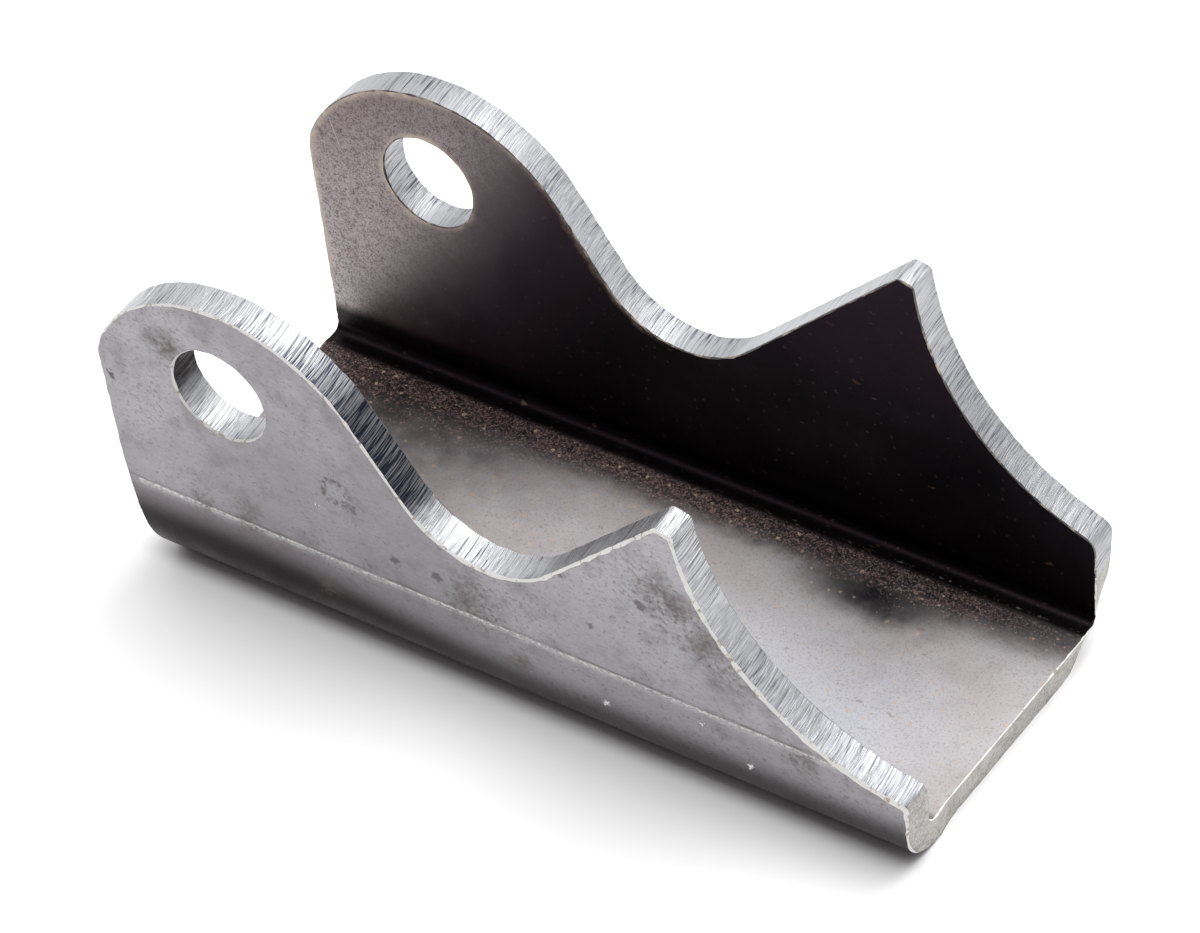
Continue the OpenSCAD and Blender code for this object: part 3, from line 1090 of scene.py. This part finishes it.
def burr_and_highlight():
    f = new_finish("burr_and_highlight")
    wear = f.noise(f.named("blank", "Vector"), 0.9, 4.0, 0.65)
    # Partly burr, partly painted highlight: the rim is near white where light would catch it.
    base = f.mix((0.50, 0.42, 0.36), (0.96, 0.95, 0.92), f.ramp(wear, 0.34, 0.46))
    f.metal(Base_Color=base, Metallic=0.1, Roughness=0.45)


def heat_line():
    f = new_finish("heat_line")
    wear = f.noise(f.named("blank", "Vector"), 0.35, 4.0, 0.65)
    base = f.mix((0.16, 0.145, 0.14), (0.60, 0.52, 0.43), f.ramp(wear, 0.48, 0.62))
    f.metal(Base_Color=base, Metallic=0.6, Roughness=0.45)


sheared_end()
burr_and_highlight()
heat_line()
print("finishes:", [m.name for m in mesh.materials])

# %% [markdown]
# ## Floor
# The part stands on a white sheet that has no visible edge. The sheet looks brighter to
# the camera and in reflections than it is for the light that it sends back to the part,
# so the background is white and the shadow stays.

# %% Floor
FLOOR_HALF = 4.0
SHEET, SHOWN_SHEET = (0.80, 0.80, 0.80), (1.15, 1.15, 1.15)
floor_mesh = bpy.data.meshes.new("floor")
corner = [(-FLOOR_HALF, -FLOOR_HALF, 0), (FLOOR_HALF, -FLOOR_HALF, 0),
          (FLOOR_HALF, FLOOR_HALF, 0), (-FLOOR_HALF, FLOOR_HALF, 0)]
floor_mesh.from_pydata(corner, [], [(0, 1, 2, 3)])
floor = bpy.data.objects.new("floor", floor_mesh)
bpy.context.scene.collection.objects.link(floor)
floor_material = bpy.data.materials.new("white_sheet")
floor_mesh.materials.append(floor_material)
sheet = Finish(floor_material)
rays = [sheet.node("LightPath", {}, {}, out=kind) for kind in ("Is Camera Ray", "Is Glossy Ray")]
lit, shown = [sheet.node("BsdfDiffuse", {}, {"Color": tone}) for tone in (SHEET, SHOWN_SHEET)]
both = sheet.node("MixShader", {}, {0: rays[0] + rays[1], 1: lit, 2: shown})
sheet.node("OutputMaterial", {}, {"Surface": both})
print("floor:", 2 * FLOOR_HALF, "m wide")

# %% [markdown]
# ## Lamp
# A soft box hangs above and a little behind the part, so the shadow falls toward the
# viewer and a bright glint shows on the crowns, the dips and the tips. An area lamp gives
# the soft rim of such a shadow. A point lamp would draw it hard.

# %% Lamp
LAMP_AT, LAMP_SIZE, LAMP_POWER = (0.17, 0.28, 1.0), (0.75, 1.45), 9.4
lamp_data = bpy.data.lights.new("soft_box", "AREA")
lamp_data.shape = "RECTANGLE"
lamp_data.size, lamp_data.size_y = LAMP_SIZE
lamp_data.energy = LAMP_POWER
lamp = bpy.data.objects.new("soft_box", lamp_data)
lamp.location = LAMP_AT
bpy.context.scene.collection.objects.link(lamp)
print("lamp:", LAMP_POWER, "W,", LAMP_SIZE, "m")

# %% [markdown]
# ## Sky
# Metal shows what stands around it. The room is pale behind the part and dark in front,
# which gives the cut edges something bright and the walls something dark to show. The
# camera itself sees plain white.

# %% Sky
BACK_WAY = (-0.1, 0.80, 0.59)
SKY_TONES = [((1, 0.84, 0.88), 0.08), ((0.98, 0.99, 1), 1.0), ((1, 1, 1), 1.0)]
RIGHT_SHADE = 0.32
world = bpy.data.worlds.new("studio")
bpy.context.scene.world = world
sky = Finish(world)
way = sky.node("TexCoord", {}, {}, out="Generated")
behind = sky.vector("DOT_PRODUCT", way, BACK_WAY, out="Value")
dark, pale, white = [sky.node("Background", {}, {"Color": tone, "Strength": strength})
                     for tone, strength in SKY_TONES]
room = sky.node("MixShader", {}, {0: sky.ramp(behind, -0.2, 0.55), 1: dark, 2: pale})
right = sky.ramp(sky.node("SeparateXYZ", {}, {0: way}), 0.25, 0.6) * RIGHT_SHADE
room = sky.node("MixShader", {}, {0: right, 1: room, 2: dark})
seen = sky.node("LightPath", {}, {}, out="Is Camera Ray")
sky.node("OutputWorld", {}, {"Surface": sky.node("MixShader", {}, {0: seen, 1: room, 2: white})})
print("sky nodes:", len(world.node_tree.nodes))

# %% [markdown]
# ## Camera
# The camera stands where the photograph was taken from: in front, above and to the right
# of the part, with a long lens. Its place, lens and small roll were solved from points on
# the outlines, so the render can be laid over the photograph.

# %% Camera at the photograph's viewing angle
EYE = Vector((305.99, -397.64, 491.33)) * MM
AIM = Vector((-0.62, -0.34, 22.0)) * MM
ROLL = math.radians(-6.281)
SENSOR, LENS = 36.0, 162.168
camera_data = bpy.data.cameras.new("camera")
camera_data.sensor_fit = "HORIZONTAL"
camera_data.sensor_width = SENSOR
camera_data.lens = LENS
camera_data.clip_start = 0.05
camera_data.clip_end = 50.0
camera = bpy.data.objects.new("camera", camera_data)
camera.location = EYE
camera.rotation_mode = "QUATERNION"
camera.rotation_quaternion = (AIM - EYE).to_track_quat("-Z", "Y") @ Quaternion((0, 0, 1), ROLL)
bpy.context.scene.collection.objects.link(camera)
bpy.context.scene.camera = camera
bpy.context.scene.view_settings.view_transform = "Standard"
print(f"camera {(EYE - AIM).length / MM:.0f} mm away, lens {LENS:.1f} mm")

# %% [markdown]
# The visual model has to stay inside the solid's box.
